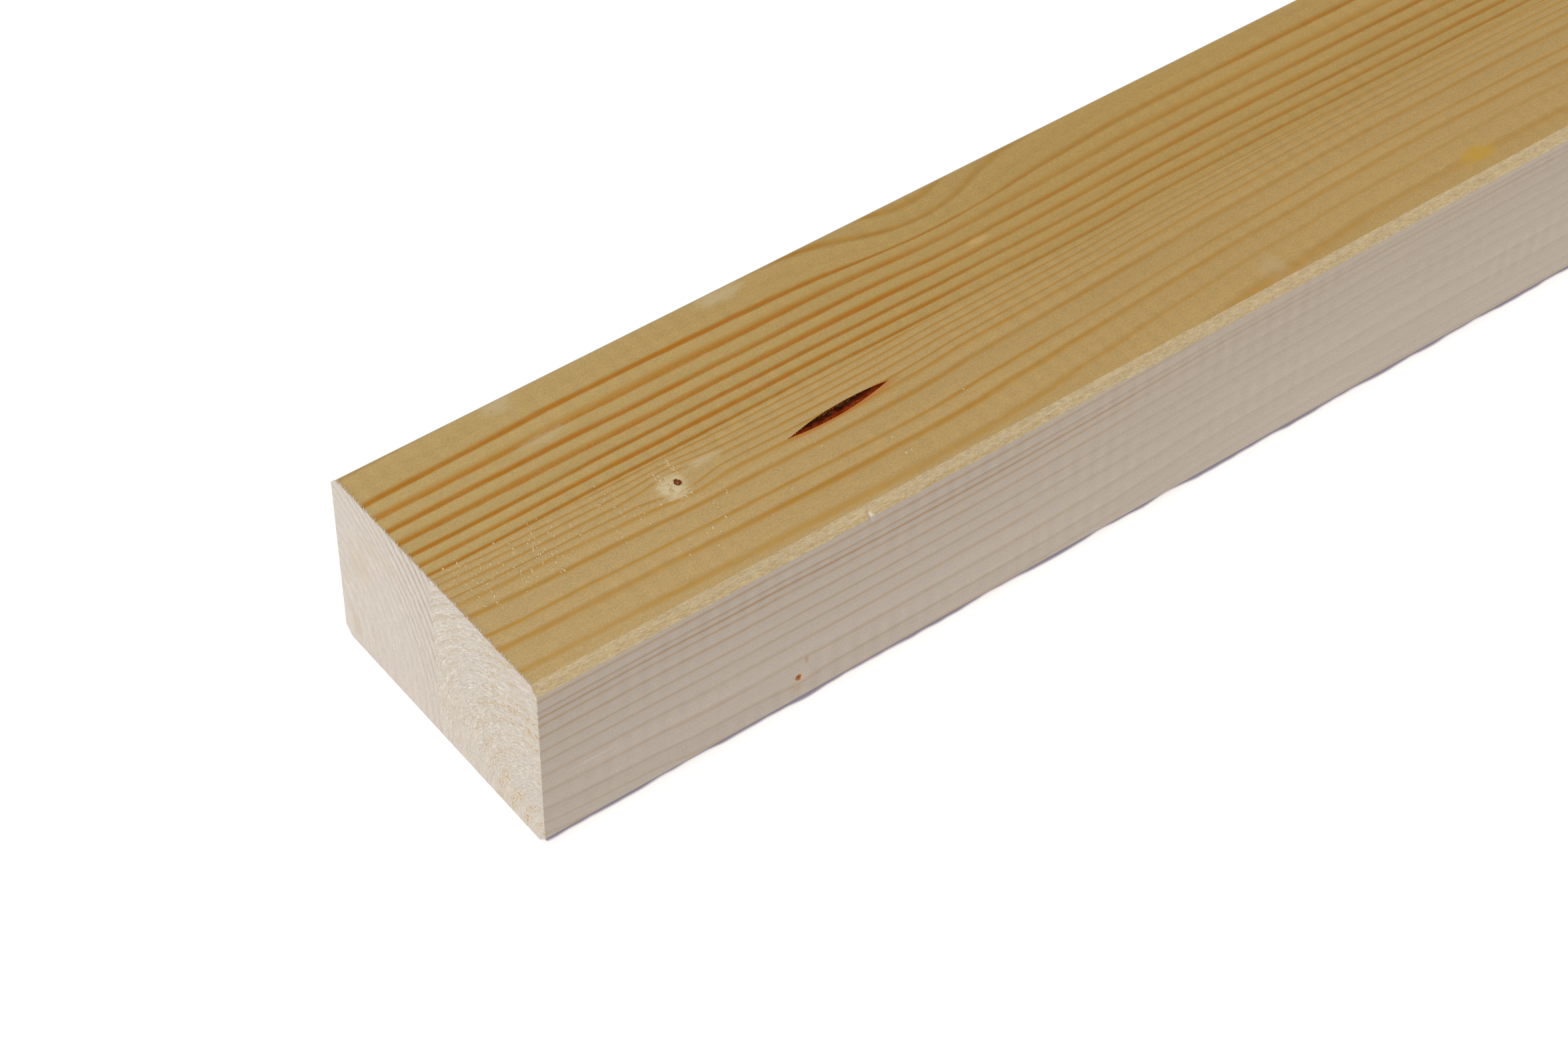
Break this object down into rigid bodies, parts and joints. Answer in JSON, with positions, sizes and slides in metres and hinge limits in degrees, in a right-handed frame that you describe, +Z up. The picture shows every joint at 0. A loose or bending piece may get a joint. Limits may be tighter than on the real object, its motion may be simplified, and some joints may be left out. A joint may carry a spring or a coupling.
{
  "type": "glued laminated timber plank",
  "caption": "Long planed softwood plank of rectangular section, glued from lamellae side by side, with chamfered long edges, square-sawn ends and a small resin pocket in its top face.",
  "frame": {"origin": "middle of the underside, at mid length and mid width", "axes": "+X along the length, away from the end that the picture shows; +Y across the width, from the front face to the back face; +Z up, through the thickness"},
  "size_m": [1.2, 0.07, 0.044],
  "materials": {
    "planed_softwood": "planed, unfinished, matt"
  },
  "bodies": {
    "root": {"front_lamella": "planed_softwood", "back_lamella": "planed_softwood"}
  },
  "joints": []
}
